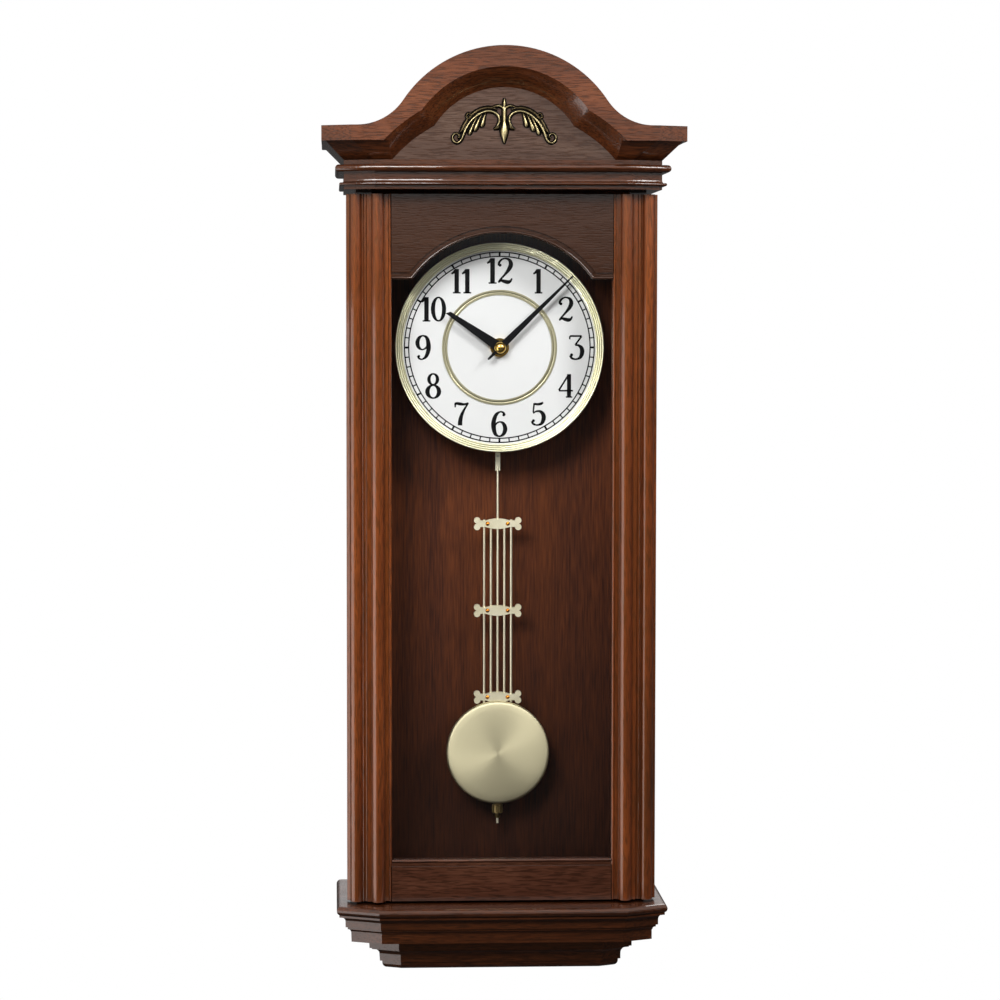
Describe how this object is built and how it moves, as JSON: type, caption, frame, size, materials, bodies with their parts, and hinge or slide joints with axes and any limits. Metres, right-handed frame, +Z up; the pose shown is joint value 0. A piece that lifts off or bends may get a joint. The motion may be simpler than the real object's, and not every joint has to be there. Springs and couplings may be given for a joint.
{
  "type": "wall-hung pendulum clock",
  "caption": "Wall-hung pendulum clock: tall chamfered wooden case, glazed door between half-round columns, arched hood with scroll ornament, round dial and gridiron pendulum.",
  "frame": {"origin": "centre of the hanger plate's round keyhole, on the wall plane", "axes": "+Y into the wall, square to the back; +X to the right seen from the front; +Z up"},
  "size_m": [0.2536, 0.115, 0.6522],
  "materials": {
    "case_wood": "high gloss lacquer",
    "dark_wood": "satin lacquer",
    "bronze": "antiqued, bright on the ridges",
    "brass": "polished",
    "champagne_metal": "bright, turned",
    "dull_bronze": "dull",
    "steel": "plain",
    "white_enamel": "smooth, satin",
    "black_enamel": "satin",
    "black_plastic": "moulded",
    "white_plastic": "moulded",
    "copper": "enamelled wire under lacquer",
    "cell_jacket": "satin",
    "glass": "clear"
  },
  "bodies": {
    "case": {"back_panel": "dark_wood", "side_panel_left": "dark_wood", "side_panel_right": "dark_wood", "floor_board": "dark_wood", "top_board": "dark_wood", "base_plinth": "case_wood", "base_ledge": "case_wood", "cornice": "case_wood", "hood_fascia": "case_wood", "hood_side_left": "case_wood", "hood_side_right": "case_wood", "hood_dust_board": "dark_wood", "hood_inner_panel": "dark_wood", "pediment_ornament": "bronze", "hanger_plate": "brass", "hanger_screws": "steel", "case_hinge_leaves": "brass", "hinge_pins": "brass", "door_catch": "steel", "dial_board": "dark_wood", "spacer_posts": "brass", "board_screws": "steel", "dial_plate": "white_enamel", "dial_bezel": "champagne_metal", "dial_inner_ring": "champagne_metal", "movement_front_shell": "black_plastic", "movement_back_shell": "black_plastic", "threaded_bush": "brass", "dial_nut": "brass", "drive_unit": "white_plastic", "cell": "cell_jacket", "cell_contacts": "steel", "pendulum_coil": "copper"},
    "minute": {"minute_arbor": "brass", "minute_hand": "black_enamel", "hand_cap": "brass"},
    "motion": {"motion_wheel": "white_plastic"},
    "hour": {"hour_wheel": "white_plastic", "hour_hand": "black_enamel"},
    "knob": {"setting_knob": "black_plastic"},
    "drive": {"drive_pinion": "brass"},
    "pendulum": {"pendulum_lever": "black_plastic", "lever_magnet": "steel", "pendulum_hook": "champagne_metal", "grid_rods": "champagne_metal", "center_rod": "champagne_metal", "upper_plate": "champagne_metal", "middle_plate": "champagne_metal", "lower_plate": "champagne_metal", "plate_rivets": "champagne_metal"},
    "bob": {"bob_shell": "champagne_metal", "bob_back": "champagne_metal"},
    "nut": {"rating_nut": "dull_bronze"},
    "door": {"door_stile_left": "case_wood", "door_stile_right": "case_wood", "door_top_rail": "case_wood", "door_bottom_rail": "case_wood", "door_glass": "glass", "glass_strips": "dark_wood", "door_hardware": "brass"}
  },
  "joints": [
    {"name": "door_swing", "type": "hinge", "parent": "case", "child": "door", "pos_m": [0.1062, -0.0664, -0.26], "axis": [0, 0, 1], "range_deg": [0, 105]},
    {"name": "pendulum_swing", "type": "hinge", "parent": "case", "child": "pendulum", "pos_m": [0, -0.029, -0.1558], "axis": [0, 1, 0], "range_deg": [-6, 6]},
    {"name": "bob_slide", "type": "slide", "parent": "pendulum", "child": "bob", "axis": [0, 0, 1], "range_m": [-0.0014, 0.0014]},
    {"name": "nut_turn", "type": "hinge", "parent": "bob", "child": "nut", "pos_m": [0, -0.0308, -0.4581], "axis": [0, 0, 1], "range_deg": [-721, 721]},
    {"name": "minute_spin", "type": "hinge", "parent": "case", "child": "minute", "pos_m": [0, -0.05, -0.1198], "axis": [0, 1, 0], "continuous": true},
    {"name": "motion_spin", "type": "hinge", "parent": "case", "child": "motion", "pos_m": [-0.01, -0.04, -0.1198], "axis": [0, 1, 0], "continuous": true},
    {"name": "hour_spin", "type": "hinge", "parent": "case", "child": "hour", "pos_m": [0, -0.045, -0.1198], "axis": [0, 1, 0], "continuous": true},
    {"name": "knob_spin", "type": "hinge", "parent": "case", "child": "knob", "pos_m": [-0.01866, -0.02, -0.1248], "axis": [0, 1, 0], "continuous": true},
    {"name": "drive_spin", "type": "hinge", "parent": "case", "child": "drive", "pos_m": [0.0064, -0.035, -0.13089], "axis": [0, 1, 0], "continuous": true}
  ],
  "couplings": [
    {"joint": "nut_turn", "follows": "bob_slide", "rad_per_m": 8976},
    {"joint": "motion_spin", "follows": "minute_spin", "ratio": -0.33333},
    {"joint": "hour_spin", "follows": "minute_spin", "ratio": 0.083333},
    {"joint": "knob_spin", "follows": "minute_spin", "ratio": 1},
    {"joint": "drive_spin", "follows": "minute_spin", "ratio": -7}
  ]
}
